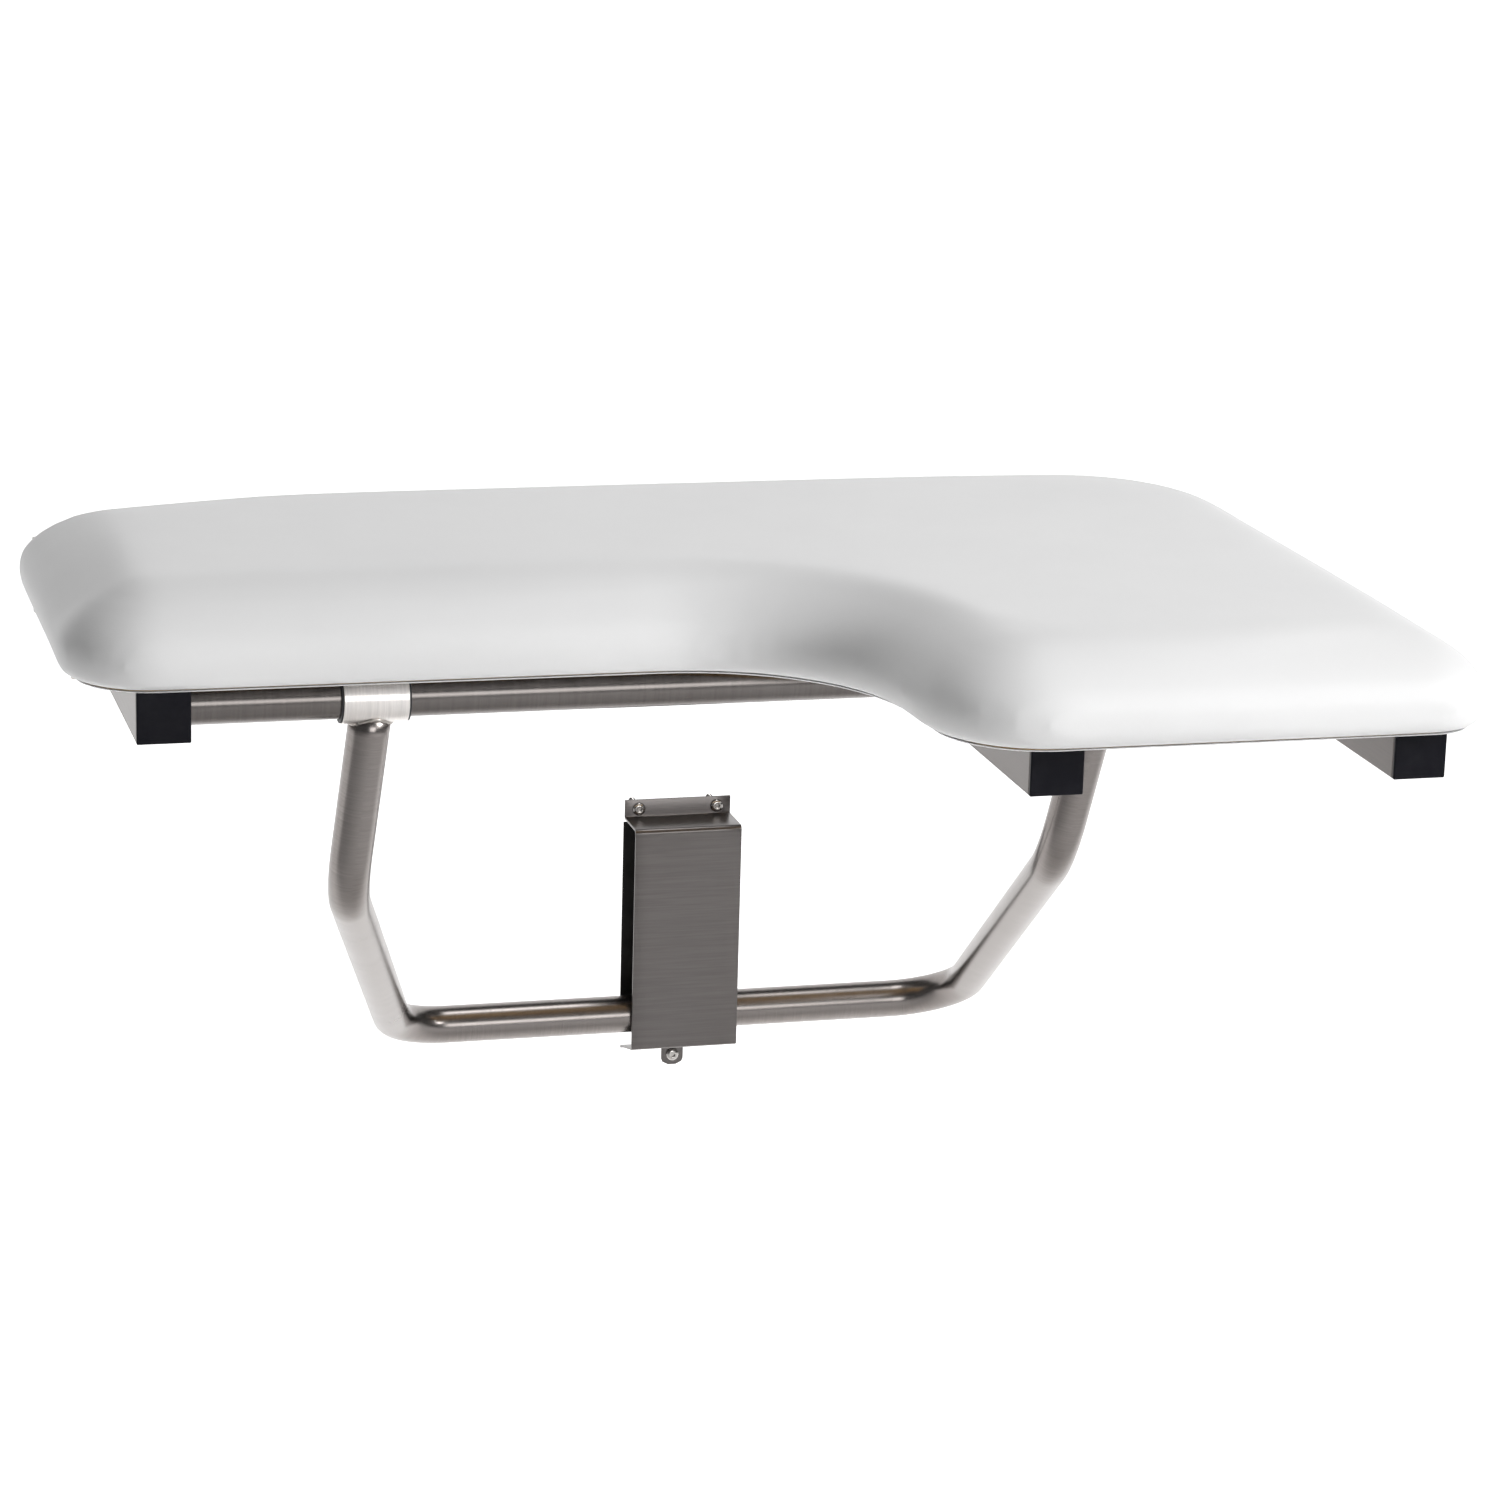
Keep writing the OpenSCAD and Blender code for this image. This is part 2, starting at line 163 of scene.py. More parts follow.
def tube_rings(path, radius, segments, start_side):
    """Rings along a path, each turned as little as possible from the last."""
    rings = []
    side = Vector(start_side)
    for k, p in enumerate(path):
        ahead = (path[min(k + 1, len(path) - 1)] - path[max(k - 1, 0)]).normalized()
        side = (side - ahead * side.dot(ahead)).normalized()
        rings.append(circle(p, ahead, side, radius, segments))
    return rings


def circle(centre, axis, side, radius, segments):
    """Points of a circle round axis, starting towards side."""
    other = axis.cross(side)
    turns = [2 * math.pi * k / segments for k in range(segments)]
    return [centre + (side * math.cos(t) + other * math.sin(t)) * radius for t in turns]


def join_parts(name, parts):
    """One object from several (verts, faces) pairs."""
    verts, faces = [], []
    for part_verts, part_faces in parts:
        base = len(verts)
        verts += list(part_verts)
        faces += [tuple(base + i for i in f) for f in part_faces]
    return new_object(name, verts, faces)


def sharpen(obj, angle):
    """Marks the edges sharper than angle, in degrees."""
    obj.data.set_sharp_from_angle(angle=math.radians(angle))
    return obj


def soften_edges(name, width, segments=3):
    """Rounds a carried CAD node's edges with modifiers and shades it smooth."""
    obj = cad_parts[name]
    shade_smooth(obj)
    weld = obj.modifiers.new("weld", "WELD")
    weld.merge_threshold = WELD_GAP
    if width:
        bevel = obj.modifiers.new("bevel", "BEVEL")
        bevel.width = width
        bevel.segments = segments
        bevel.limit_method = "ANGLE"
        bevel.angle_limit = math.radians(BEVEL_FROM)
        bevel.harden_normals = False
    normals = obj.modifiers.new("normals", "WEIGHTED_NORMAL")
    normals.keep_sharp = True


# ---------------------------------------------------------------- materials

class Nodes:
    """A thin helper that builds a node material."""

    def __init__(self, name):
        self.material = bpy.data.materials.new(name)
        self.material.use_nodes = True
        self.tree = self.material.node_tree
        self.shader = self.tree.nodes["Principled BSDF"]
        self.coords = self.tree.nodes.new("ShaderNodeTexCoord").outputs["Object"]

    def add(self, kind, **inputs):
        node = self.tree.nodes.new(kind)
        for key, value in inputs.items():
            self.feed(node.inputs[key], value)
        return node

    def feed(self, socket, value):
        """Links another node's output to the socket, or sets the socket's own value."""
        if isinstance(value, bpy.types.NodeSocket):
            self.tree.links.new(value, socket)
        else:
            socket.default_value = value

    def mapped(self, scale, turn=(0, 0, 0), source=None):
        node = self.add("ShaderNodeMapping", Vector=source or self.coords, Scale=scale, Rotation=turn)
        return node.outputs["Vector"]

    def noise(self, vector, scale, detail=3.0, rough=0.5):
        node = self.add("ShaderNodeTexNoise", Vector=vector, Scale=scale, Detail=detail, Roughness=rough)
        return node.outputs["Fac"]

    def ramp(self, fac, stops):
        node = self.tree.nodes.new("ShaderNodeValToRGB")
        self.feed(node.inputs["Fac"], fac)
        for index, (place, colour) in enumerate(stops):
            element = node.color_ramp.elements[index] if index < 2 else node.color_ramp.elements.new(place)
            element.position = place
            element.color = (*colour, 1) if len(colour) == 3 else colour
        return node.outputs["Color"]

    def between(self, fac, low, high):
        node = self.add("ShaderNodeMapRange", Value=fac)
        node.inputs["To Min"].default_value = low
        node.inputs["To Max"].default_value = high
        return node.outputs["Result"]

    def mix(self, fac, a, b, kind="MIX"):
        node = self.tree.nodes.new("ShaderNodeMix")
        node.data_type = "RGBA"
        node.blend_type = kind
        self.feed(node.inputs["Factor"], fac)
        self.feed(node.inputs["A"], a)
        self.feed(node.inputs["B"], b)
        return node.outputs["Result"]

    def bump(self, height, strength, distance, normal=None):
        node = self.add("ShaderNodeBump", Height=height, Strength=strength, Distance=distance)
        if normal is not None:
            self.feed(node.inputs["Normal"], normal)
        return node.outputs["Normal"]


def brushed_steel(name, colour, grain, roughness, strength=0.10):
    """Satin stainless steel with fine scratches; grain is the texture's scale, low along the scratches."""
    n = Nodes(name)
    fine = n.noise(n.mapped(grain), 1.0, 4, 0.6)
    broad = n.noise(n.coords, 9.0, 2, 0.5)
    dark = tuple(c * 0.86 for c in colour)
    tone = n.ramp(fine, [(0.35, dark), (0.65, colour)])
    blotch = n.ramp(broad, [(0.3, (0.93, 0.92, 0.91)), (0.7, (1, 1, 1))])
    n.feed(n.shader.inputs["Base Color"], n.mix(1.0, tone, blotch, "MULTIPLY"))
    n.feed(n.shader.inputs["Roughness"], n.between(fine, *roughness))
    n.shader.inputs["Metallic"].default_value = 1.0
    n.feed(n.shader.inputs["Normal"], n.bump(fine, strength, 0.0002))
    return n.material


def vinyl():
    """White upholstery vinyl: a fine pebbled grain, slight tone variation and a soft coat."""
    n = Nodes("white_vinyl")
    pebble = n.add("ShaderNodeTexVoronoi", Vector=n.coords, Scale=900.0)
    pebble.feature = "SMOOTH_F1"
    grain = pebble.outputs["Distance"]
    broad = n.noise(n.coords, 5.0, 3, 0.55)
    wave = n.noise(n.coords, 60.0, 3, 0.6)
    tone = n.ramp(broad, [(0.3, (0.735, 0.735, 0.737)), (0.7, (0.775, 0.775, 0.775))])
    n.feed(n.shader.inputs["Base Color"], tone)
    n.feed(n.shader.inputs["Roughness"], n.between(wave, 0.44, 0.54))
    n.shader.inputs["Specular IOR Level"].default_value = 0.35
    n.shader.inputs["Sheen Weight"].default_value = 0.06
    n.shader.inputs["Sheen Roughness"].default_value = 0.5
    fine = n.bump(grain, 0.10, 0.0002)
    n.feed(n.shader.inputs["Normal"], n.bump(wave, 0.05, 0.0006, fine))
    return n.material


def moulded_plastic(name, colour, roughness, coat=0.0, flecks=0.02, specular=0.3):
    """Moulded plastic: small tone changes, a fine spark-eroded texture and faint scuffs."""
    n = Nodes(name)
    texture = n.noise(n.coords, 700.0, 3, 0.6)
    scuff = n.noise(n.mapped((40, 400, 40), (0.3, 0.2, 0.5)), 1.0, 4, 0.7)
    light = tuple(min(1.0, c + flecks) for c in colour)
    n.feed(n.shader.inputs["Base Color"], n.ramp(scuff, [(0.42, colour), (0.8, light)]))
    n.feed(n.shader.inputs["Roughness"], n.between(scuff, roughness, min(1.0, roughness + 0.14)))
    n.shader.inputs["Specular IOR Level"].default_value = specular
    n.shader.inputs["Coat Weight"].default_value = coat
    n.shader.inputs["Coat Roughness"].default_value = 0.08
    n.feed(n.shader.inputs["Normal"], n.bump(texture, 0.06, 0.0001))
    return n.material


def plywood():
    """Sealed plywood: rings stretched along the board and darker pores."""
    n = Nodes("sealed_plywood")
    stretched = n.mapped((3.0, 42.0, 42.0))
    warp = n.noise(stretched, 1.0, 4, 0.55)
    pores = n.noise(n.mapped((40.0, 900.0, 900.0)), 1.0, 3, 0.6)
    wood = n.ramp(warp, [(0.3, (0.40, 0.26, 0.13)), (0.5, (0.55, 0.38, 0.20)), (0.68, (0.62, 0.45, 0.26))])
    shade = n.ramp(pores, [(0.36, (0.72, 0.68, 0.62)), (0.5, (1, 1, 1))])
    n.feed(n.shader.inputs["Base Color"], n.mix(1.0, wood, shade, "MULTIPLY"))
    n.feed(n.shader.inputs["Roughness"], n.between(warp, 0.38, 0.5))
    n.feed(n.shader.inputs["Normal"], n.bump(pores, 0.12, 0.0003))
    return n.material


BRIGHT_STEEL = (0.58, 0.56, 0.54)
STEEL = (0.27, 0.248, 0.238)
DARK_STEEL = (0.18, 0.166, 0.16)
rail_steel = brushed_steel("brushed_square_tube", DARK_STEEL, (900, 25, 900), (0.28, 0.42))
tube_steel = brushed_steel("satin_round_tube", DARK_STEEL, (700, 30, 30), (0.20, 0.30), 0.06)
sleeve_steel = brushed_steel("satin_sleeve", (0.88, 0.85, 0.83), (900, 30, 30), (0.28, 0.38))
bracket_steel = brushed_steel("brushed_bracket_plate", BRIGHT_STEEL, (60, 900, 900), (0.30, 0.42))
guide_steel = brushed_steel("brushed_guide_sheet", (0.17, 0.158, 0.154), (22, 900, 900), (0.26, 0.36), 0.12)
screw_steel = brushed_steel("bright_screw_steel", BRIGHT_STEEL, (500, 500, 500), (0.18, 0.30))
bolt_steel = brushed_steel("bolt_steel", (0.55, 0.55, 0.55), (300, 300, 300), (0.26, 0.40))
bead_steel = brushed_steel("weld_bead_steel", (0.50, 0.47, 0.44), (500, 500, 500), (0.30, 0.46))
white_vinyl = vinyl()
cap_plastic = moulded_plastic("black_cap_plastic", (0.003, 0.003, 0.006), 0.25, coat=0.02, flecks=0.006,
                              specular=0.12)
# the guide liner's near-black colour is painted shade: a black sheet that darkens the inside of the guide
# channel, which lies in shadow
channel_shade_black = moulded_plastic("black_sheet_painting_channel_shade", (0.012, 0.012, 0.012), 0.5)
bush_plastic = moulded_plastic("dark_bush_nylon", (0.03, 0.03, 0.033), 0.45)
nylon = moulded_plastic("natural_nylon", (0.80, 0.79, 0.74), 0.4, flecks=0.04)
board_wood = plywood()


def paint(material, *targets):
    """Gives carried CAD nodes, by name, or new pieces one material."""
    for target in targets:
        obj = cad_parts[target] if isinstance(target, str) else target
        obj.data.materials.clear()
        obj.data.materials.append(material)


# ---------------------------------------------------------------- carried CAD nodes

paint(rail_steel, "left_rail", "middle_rail", "right_rail")
paint(tube_steel, "cross_tube")
paint(sleeve_steel, "left_sleeve", "right_sleeve")
paint(bracket_steel, "left_wall_bracket", "middle_wall_bracket", "right_wall_bracket")
paint(bolt_steel, "hinge_bolts", "hinge_nuts", "board_screws", "board_tee_nuts")
paint(cap_plastic, "left_end_cap", "middle_end_cap", "right_end_cap", "rear_end_caps")
# the liner is coloured near-black as painted shade inside the guide channel
paint(channel_shade_black, "guide_liner")
paint(bush_plastic, "left_sleeve_bushings", "right_sleeve_bushings")
paint(nylon, "hinge_bushings", "bar_glide")
paint(board_wood, "seat_board")
paint(screw_steel, "liner_rivets")

for node in ("left_rail", "middle_rail", "right_rail"):
    soften_edges(node, 1.1 * MM)
for node in ("left_end_cap", "middle_end_cap", "right_end_cap", "rear_end_caps"):
    soften_edges(node, 0.9 * MM)
for node in ("left_wall_bracket", "middle_wall_bracket", "right_wall_bracket", "seat_board"):
    soften_edges(node, 0.7 * MM, 2)
for node in ("left_sleeve", "right_sleeve", "hinge_bushings", "bar_glide", "left_sleeve_bushings",
             "right_sleeve_bushings", "hinge_bolts", "hinge_nuts", "board_screws"):
    soften_edges(node, 0.35 * MM, 2)
for node in ("cross_tube", "guide_liner", "liner_rivets", "board_tee_nuts"):
    soften_edges(node, 0)


# ---------------------------------------------------------------- cushion

# Corners of the pad's widest level, from the rear left: x, y and radius in mm
PAD_CORNERS = [(-60, -73, 44), (91, -61, 205), (740.5, -61, 124), (740.5, -590, 41),
               (407.5, -590, 70), (392, -383.5, 107), (-60, -383.5, 57.5)]
# Heights: underside, widest level and top
PAD_Z0 = PAD_LOW.z
PAD_WIDEST = PAD_Z0 + 17.5 * MM
PAD_TOP = PAD_Z0 + 58.5 * MM
# How far the sides pull in towards the top, and how fast, and how far towards the underside
ROUND_IN, ROUND_POWER = 50 * MM, 1.6
UNDER_IN = 12 * MM
# The sides have this many levels below and above the widest one
LEVELS_UNDER, LEVELS_OVER = 5, 10
MIN_RADIUS = 4 * MM

# The cover starts smaller by START_IN; its swelling is averaged in SPREAD_ROUNDS rounds and then capped
START_IN = 0.8 * MM
VOXEL = 6 * MM
SPREAD_ROUNDS, SWELL_CAP = 60, 2.5 * MM
CLOTH_FRAMES = 20
# The simulation holds points lower than HELD_HEIGHT; movement grows from none to full over FREE_HEIGHT
HELD_HEIGHT, FREE_HEIGHT = 4 * MM, 10 * MM
# From the edge inwards the top rises by CROWN over CROWN_WIDTH, and starts CROWN_START of that too low
CROWN, CROWN_WIDTH, CROWN_START = 2 * MM, 150 * MM, 0.6
# The rear left corner is lower, by DIP at its middle
DIP, DIP_WIDTH = 5 * MM, 85 * MM
DIP_X, DIP_Y = PAD_LOW.x + 25 * MM, PAD_HIGH.y - 20 * MM


def corner_points(a, b, c, radius, steps):
    """Points of a round corner at b, between a and c."""
    u, v = (b - a).normalized(), (c - b).normalized()
    turn = math.atan2(u.x * v.y - u.y * v.x, u.dot(v))
    side = math.copysign(1, turn)
    start = b - u * radius * math.tan(abs(turn) / 2)
    centre = start + Vector((-u.y, u.x)) * side * radius
    arm = start - centre
    points = []
    for i in range(steps + 1):
        t = turn * i / steps
        points.append(centre + Vector((arm.x * math.cos(t) - arm.y * math.sin(t),
                                       arm.x * math.sin(t) + arm.y * math.cos(t))))
    return points


def pad_outline(inset, steps=10, run=8):
    """The pad's outline, moved in by inset, with the same number of points at every inset."""
    count = len(PAD_CORNERS)
    places = [Vector(c[:2]) * MM for c in PAD_CORNERS]
    moved = []
    for k in range(count):
        a, b, c = places[k - 1], places[k], places[(k + 1) % count]
        u, v = (b - a).normalized(), (c - b).normalized()
        n1, n2 = Vector((u.y, -u.x)), Vector((v.y, -v.x))
        half = (n1 + n2).normalized()
        moved.append(b + half * inset / half.dot(n1))
    arcs = []
    for k in range(count):
        a, b, c = moved[k - 1], moved[k], moved[(k + 1) % count]
        u, v = (b - a).normalized(), (c - b).normalized()
        convex = u.x * v.y - u.y * v.x < 0
        radius = PAD_CORNERS[k][2] * MM + (-inset if convex else inset)
        arcs.append(corner_points(a, b, c, max(radius, MIN_RADIUS), steps))
    outline = []
    for k in range(count):
        outline += arcs[k]
        start, end = arcs[k][-1], arcs[(k + 1) % count][0]
        outline += [start.lerp(end, j / run) for j in range(1, run)]
    return outline


def pad_rings(shrink):
    """Rings of the pad from its underside to its top, all moved in by shrink."""
    rings = []
    levels = [i / LEVELS_UNDER - 1 for i in range(LEVELS_UNDER)]
    levels += [i / LEVELS_OVER for i in range(LEVELS_OVER + 1)]
    for level in levels:
        angle = level * math.pi / 2
        if level < 0:
            inset = UNDER_IN * (1 - math.cos(angle))
            z = PAD_WIDEST + (PAD_WIDEST - PAD_Z0) * math.sin(angle)
        else:
            inset = ROUND_IN * (1 - math.cos(angle) ** ROUND_POWER)
            z = PAD_WIDEST + (PAD_TOP - shrink - PAD_WIDEST) * math.sin(angle)
        rings.append([Vector((p.x, p.y, z)) for p in pad_outline(inset + shrink)])
    return rings


def edge_distance(points, outline):
    """Distance of each point from the outline, in plan."""
    ring = np.array([(p.x, p.y) for p in outline])
    a, b = ring, np.roll(ring, -1, 0)
    d = b - a
    best = np.full(len(points), 1e9)
    for k in range(len(a)):
        length = max(float(d[k] @ d[k]), 1e-12)
        t = np.clip(((points - a[k]) @ d[k]) / length, 0, 1)
        gap = np.linalg.norm(points - a[k] - t[:, None] * d[k], axis=1)
        best = np.minimum(best, gap)
    return best


def positions(mesh):
    """The mesh's points as rows of x, y and z."""
    co = np.zeros(len(mesh.vertices) * 3)
    mesh.vertices.foreach_get("co", co)
    return co.reshape(-1, 3)


def remeshed_pad():
    """The pad as an even voxel mesh, a little smaller than it ends up."""
    pad = new_object("padded_seat", *ring_skin(pad_rings(START_IN)))
    remesh = pad.modifiers.new("remesh", "REMESH")
    remesh.mode = "VOXEL"
    remesh.voxel_size = VOXEL
    bake_modifiers(pad)
    smooth = pad.modifiers.new("smooth", "SMOOTH")
    smooth.factor = 0.5
    smooth.iterations = 4
    bake_modifiers(pad)
    return pad


def make_cushion():
    """The padded seat: swollen by cloth, crowned, lower at its rear left corner, and flat underneath."""
    pad = remeshed_pad()
    rest = positions(pad.data)
    inflate(pad, rest)
    move = spread(pad.data, positions(pad.data) - rest, SPREAD_ROUNDS)
    length = np.linalg.norm(move, axis=1)
    move *= np.minimum(1.0, SWELL_CAP / np.maximum(length, 1e-9))[:, None]
    free = np.clip((rest[:, 2] - PAD_Z0) / FREE_HEIGHT, 0, 1)
    co = rest + move * free[:, None]
    gap = edge_distance(co[:, :2], pad_outline(0))
    top = np.clip((co[:, 2] - PAD_WIDEST) / (PAD_TOP - PAD_WIDEST), 0, 1)
    crown = np.clip(gap / CROWN_WIDTH, 0, 1)
    co[:, 2] += top ** 2 * (crown * (2 - crown) - CROWN_START) * CROWN
    corner = np.hypot(co[:, 0] - DIP_X, co[:, 1] - DIP_Y)
    co[:, 2] -= top * DIP * np.exp(-(corner / DIP_WIDTH) ** 2)
    co[:, 2] = np.maximum(co[:, 2], PAD_Z0 + 0.2 * MM)
    pad.data.vertices.foreach_set("co", co.astype(np.float32).ravel())
    pad.data.update()
    subdivide = pad.modifiers.new("subdivide", "SUBSURF")
    subdivide.levels = subdivide.render_levels = 1
    bake_modifiers(pad)
    shade_smooth(pad)
    return pad


def spread(mesh, move, rounds):
    """Averages each vertex's movement with its neighbours', so that only broad swelling is left."""
    pairs = np.zeros(len(mesh.edges) * 2, dtype=np.int64)
    mesh.edges.foreach_get("vertices", pairs)
    pairs = pairs.reshape(-1, 2)
    degree = np.bincount(pairs.ravel(), minlength=len(move)).astype(float)
    for _ in range(rounds):
        total = np.zeros_like(move)
        for axis in range(3):
            total[:, axis] = (np.bincount(pairs[:, 0], move[pairs[:, 1], axis], len(move))
                              + np.bincount(pairs[:, 1], move[pairs[:, 0], axis], len(move)))
        move = 0.3 * move + 0.7 * total / np.maximum(degree, 1)[:, None]
    return move


def inflate(pad, rest):
    """Blows the cover up a little with a short cloth simulation; the underside is held."""
    group = pad.vertex_groups.new(name="held")
    held = [i for i, p in enumerate(rest) if p[2] < PAD_Z0 + HELD_HEIGHT]
    group.add(held, 1.0, "REPLACE")
    cloth = pad.modifiers.new("cloth", "CLOTH")
    settings = cloth.settings
    settings.quality = 5
    settings.mass = 0.35
    settings.tension_stiffness = 30
    settings.compression_stiffness = 30
    settings.bending_stiffness = 2.0
    settings.use_pressure = True
    settings.uniform_pressure_force = 4.0
    settings.vertex_group_mass = "held"
    settings.effector_weights.gravity = 0.0
    cloth.collision_settings.use_collision = False
    scene = bpy.context.scene
    for number in range(1, CLOTH_FRAMES + 1):
        scene.frame_set(number)
    bake_modifiers(pad)
    scene.frame_set(1)


cushion = make_cushion()
paint(white_vinyl, cushion)
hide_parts("seat_cushion")
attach(cushion, "seat")
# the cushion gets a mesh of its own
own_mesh(cushion)


# The hem's outer and inner edges, and the staples' line, as distances in from the pad's outline
HEM_OUTER, HEM_INNER, STAPLE_LINE = 13 * MM, 34 * MM, 27 * MM
HEM_THICK, HEM_RIPPLE = 0.9 * MM, 0.18 * MM
# Where the hem's section turns: share of the way inwards, and height in thicknesses
HEM_SECTION = ((0.0, 0.2), (0.04, -0.7), (0.5, -0.75), (0.96, -0.9), (1.0, 0.1), (0.5, 0.35))
# Points in each corner and each straight of the hem's and the staples' lines
HEM_POINTS = (16, 24)


def make_hem():
    """The vinyl's turned-under edge on the board's underside, a thin band with a soft pleated inner edge."""
    outer = pad_outline(HEM_OUTER, *HEM_POINTS)
    inner = pad_outline(HEM_INNER, *HEM_POINTS)
    rings = []
    for share, height in HEM_SECTION:
        ring = []
        for k, (a, b) in enumerate(zip(outer, inner)):
            p = a.lerp(b, share)
            ripple = HEM_RIPPLE * math.sin(k * 1.9) * share
            ring.append(Vector((p.x, p.y, PAD_Z0 + height * HEM_THICK - abs(ripple))))
        rings.append(ring)
    rings.append(rings[0])
    return new_object("vinyl_hem", *ring_skin(rings, close_ends=False))


hem = make_hem()
paint(white_vinyl, hem)
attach(hem, "seat")


STAPLE_PITCH, STAPLE_WIRE = 34 * MM, 0.45 * MM
# The staple's path: distance along the hem and height, in mm
STAPLE_PATH = ((-5, 0.3), (-5, -1.0), (-4.3, -1.45), (4.3, -1.45), (5, -1.0), (5, 0.3))


def make_staples():
    """Wire staples that hold the hem to the board, clear of the rails."""
    line = pad_outline(STAPLE_LINE, *HEM_POINTS)
    parts = []
    travelled = 0.0
    for k, here in enumerate(line):
        step = here - line[k - 1]
        travelled += step.length
        if travelled < STAPLE_PITCH or step.length < 1e-6:
            continue
        travelled = 0.0
        if any(abs(here.x - x) < RAIL_W / 2 + 7 * MM for x in RAIL_XS):
            continue
        along = step.normalized()
        path = []
        for offset, z in STAPLE_PATH:
            place = here + along * offset * MM
            path.append(Vector((place.x, place.y, PAD_Z0 + z * MM)))
        start_side = (path[1] - path[0]).normalized().orthogonal()
        parts.append(ring_skin(tube_rings(path, STAPLE_WIRE, 6, start_side)))
    return join_parts("hem_staples", parts)


staples = make_staples()
paint(screw_steel, staples)
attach(staples, "seat")


# ---------------------------------------------------------------- leg tube

# The knees lie this far behind and below the cross tube, and to the left of the legs' tops
KNEE_RUN, KNEE_DROP = 25 * MM, 127.3 * MM
LEFT_KNEE_SHIFT, RIGHT_KNEE_SHIFT = 11 * MM, 19 * MM
# Where the cross bar's line meets the lower legs, and the bends' radii
BAR_LEFT_X, BAR_RIGHT_X = 201.3 * MM, 597.7 * MM
KNEE_BEND, BAR_BEND = 60 * MM, 45 * MM
# The tube starts this far down from the cross tube's middle, inside its sleeve
LEG_START = 9 * MM
BEND_STEPS, RUN_STEP = 16, 12 * MM
KNEE_Y, KNEE_Z = TUBE_Y + KNEE_RUN, TUBE_Z - KNEE_DROP
LEG_CORNERS = [(Vector((LEFT_LEG_X, TUBE_Y, TUBE_Z)), 0),
               (Vector((LEFT_LEG_X - LEFT_KNEE_SHIFT, KNEE_Y, KNEE_Z)), KNEE_BEND),
               (Vector((BAR_LEFT_X, BAR.y, BAR.z)), BAR_BEND),
               (Vector((BAR_RIGHT_X, BAR.y, BAR.z)), BAR_BEND),
               (Vector((RIGHT_LEG_X - RIGHT_KNEE_SHIFT, KNEE_Y, KNEE_Z)), KNEE_BEND),
               (Vector((RIGHT_LEG_X, TUBE_Y, TUBE_Z)), 0)]


def leg_path():
    """The leg's centreline: straight runs joined by round bends."""
    points = []
    for k, (here, radius) in enumerate(LEG_CORNERS):
        if radius == 0:
            other = LEG_CORNERS[1 if k == 0 else k - 1][0]
            points.append(here + (other - here).normalized() * LEG_START)
            continue
        u = (here - LEG_CORNERS[k - 1][0]).normalized()
        v = (LEG_CORNERS[k + 1][0] - here).normalized()
        turn = u.angle(v)
        inward = (v - u * u.dot(v)).normalized()
        start = here - u * radius * math.tan(turn / 2)
        for i in range(BEND_STEPS + 1):
            t = turn * i / BEND_STEPS
            points.append(start + u * radius * math.sin(t) + inward * radius * (1 - math.cos(t)))
    path = []
    for a, b in zip(points, points[1:]):
        steps = max(1, int((b - a).length / RUN_STEP))
        path += [a.lerp(b, j / steps) for j in range(steps)]
    path.append(points[-1])
    return path


def make_leg():
    """The bent tube, with a UV map in metres along and round it for the scratches."""
    path = leg_path()
    segments = 48
    lengths = [0.0]
    for a, b in zip(path, path[1:]):
        lengths.append(lengths[-1] + (b - a).length)
    verts, faces = ring_skin(tube_rings(path, TUBE_R, segments, (0, -1, 0)))
    leg = new_object("bent_leg_tube", verts, faces)
    uv = leg.data.uv_layers.new(name="run")
    for polygon in leg.data.polygons:
        wrap = any(v % segments == 0 for v in polygon.vertices) and any(
            v % segments == segments - 1 for v in polygon.vertices)
        for loop, vertex in zip(polygon.loop_indices, polygon.vertices):
            around = vertex % segments / segments
            if wrap and around == 0:
                around = 1.0
            uv.data[loop].uv = (lengths[vertex // segments], around * 2 * math.pi * TUBE_R)
    return leg


def leg_steel():
    """The round tube's satin steel, with scratches that run round the tube."""
    n = Nodes("satin_leg_tube")
    where = n.add("ShaderNodeUVMap")
    where.uv_map = "run"
    fine = n.noise(n.mapped((900, 30, 1), source=where.outputs["UV"]), 1.0, 4, 0.6)
    bands = n.noise(n.mapped((45, 3, 1), source=where.outputs["UV"]), 1.0, 3, 0.6)
    broad = n.noise(n.coords, 12.0, 3, 0.5)
    tone = n.ramp(fine, [(0.35, tuple(c * 0.86 for c in STEEL)), (0.65, STEEL)])
    stain = n.ramp(broad, [(0.3, (0.94, 0.93, 0.92)), (0.65, (1, 1, 1))])
    n.feed(n.shader.inputs["Base Color"], n.mix(1.0, tone, stain, "MULTIPLY"))
    n.feed(n.shader.inputs["Roughness"], n.between(bands, 0.22, 0.30))
    n.shader.inputs["Metallic"].default_value = 1.0
    n.feed(n.shader.inputs["Normal"], n.bump(fine, 0.03, 0.0002))
    return n.material


leg = make_leg()
paint(leg_steel(), leg)
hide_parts("leg_tube")
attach(leg, "leg")


# ---------------------------------------------------------------- weld beads

BEAD_POINTS = 72


def bead_ring(points, radius):
    """A closed weld bead through points, with the ripple of a hand weld."""
    rings = []
    for k, p in enumerate(points):
        ahead = (points[(k + 1) % len(points)] - points[k - 1]).normalized()
        side = ahead.orthogonal().normalized()
        ripple = 1 + 0.12 * math.sin(k * 1.7)
        rings.append(circle(p, ahead, side, radius * ripple, 8))
    rings.append(rings[0])
    return ring_skin(rings, close_ends=False)


